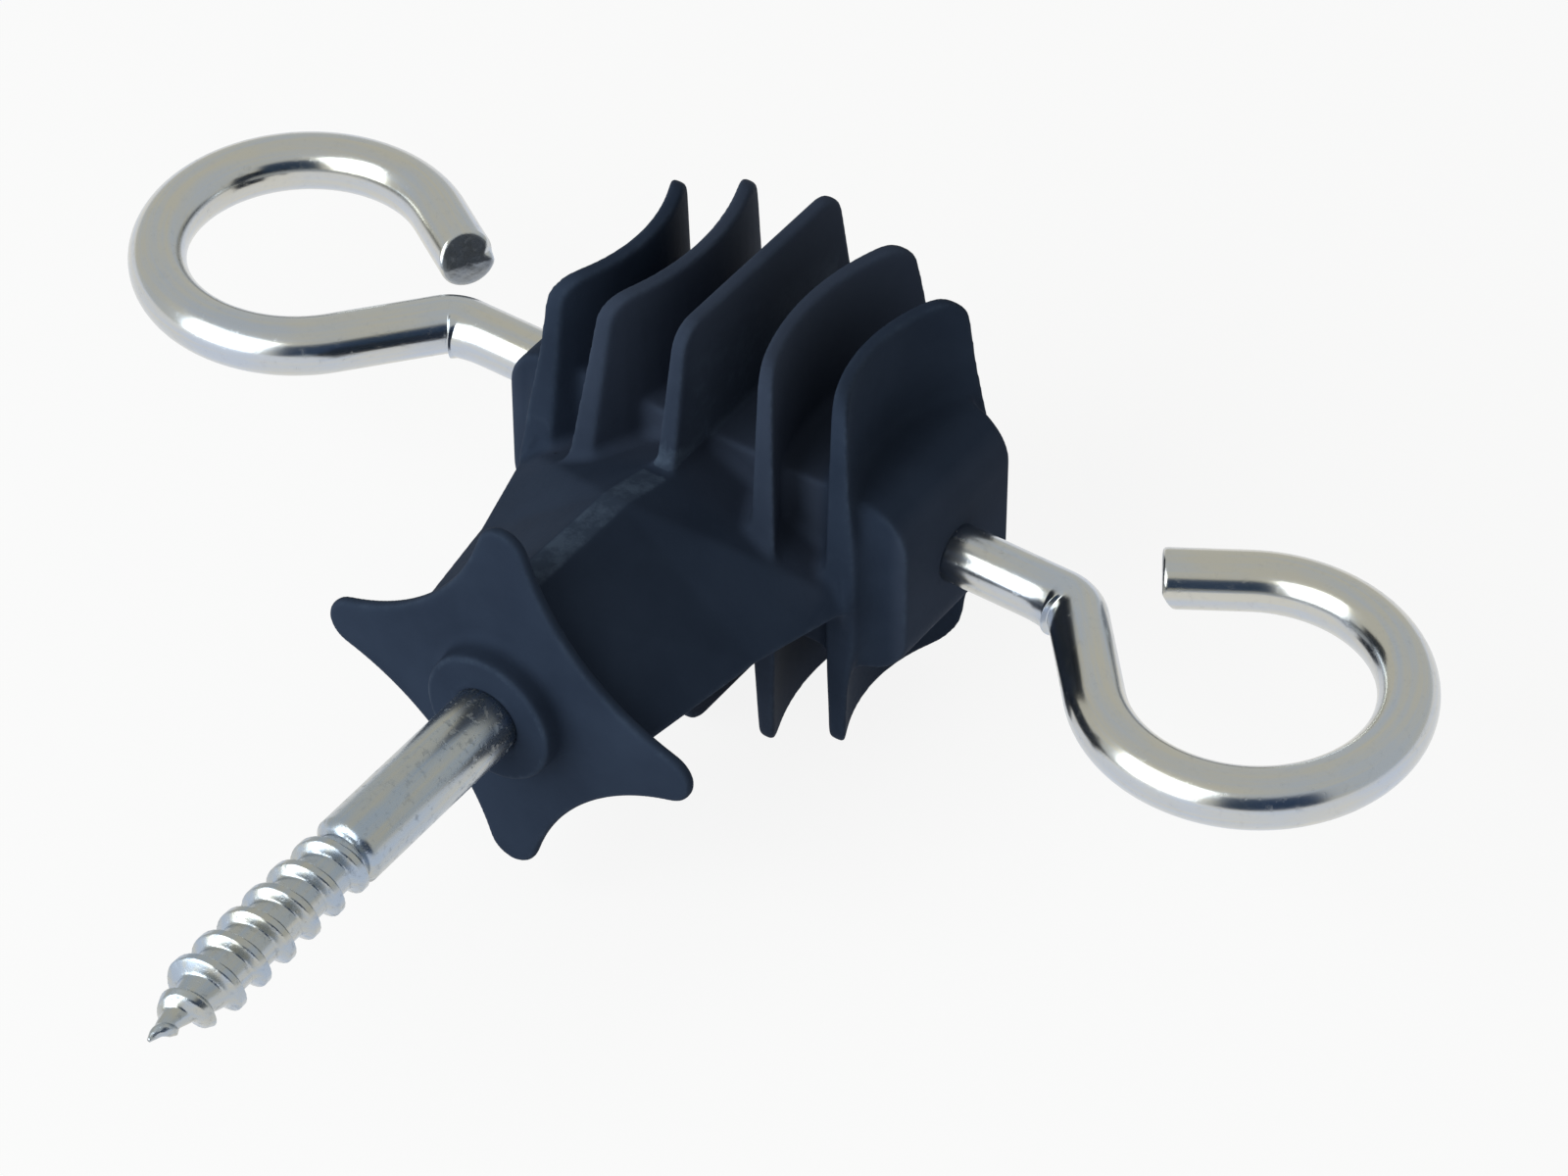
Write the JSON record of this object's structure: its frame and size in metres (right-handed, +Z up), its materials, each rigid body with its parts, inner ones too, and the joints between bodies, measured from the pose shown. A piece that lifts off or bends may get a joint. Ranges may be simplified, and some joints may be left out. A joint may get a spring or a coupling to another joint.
{
  "type": "fence insulator",
  "caption": "Finned plastic electric-fence insulator on a wood-screw stem, with an open steel hook on each side for a gate handle or a live wire.",
  "frame": {"origin": "on the stem's axis, in the seating face that meets the post", "axes": "+X along the hook wire to the right-hand hook, -Y along the stem into the post, +Z up across the fins"},
  "size_m": [0.1242, 0.0938, 0.043],
  "materials": {
    "body_plastic": "moulded, faint satin",
    "hook_zinc": "bright zinc plate",
    "screw_zinc": "zinc plate, duller than the hooks",
    "insert_steel": "plain zinc plate"
  },
  "bodies": {
    "root": {"insulator_body": "body_plastic", "left_hook": "hook_zinc", "right_hook": "hook_zinc", "hook_coupling": "insert_steel", "wood_screw": "screw_zinc", "anchor_nut": "insert_steel"}
  },
  "joints": []
}
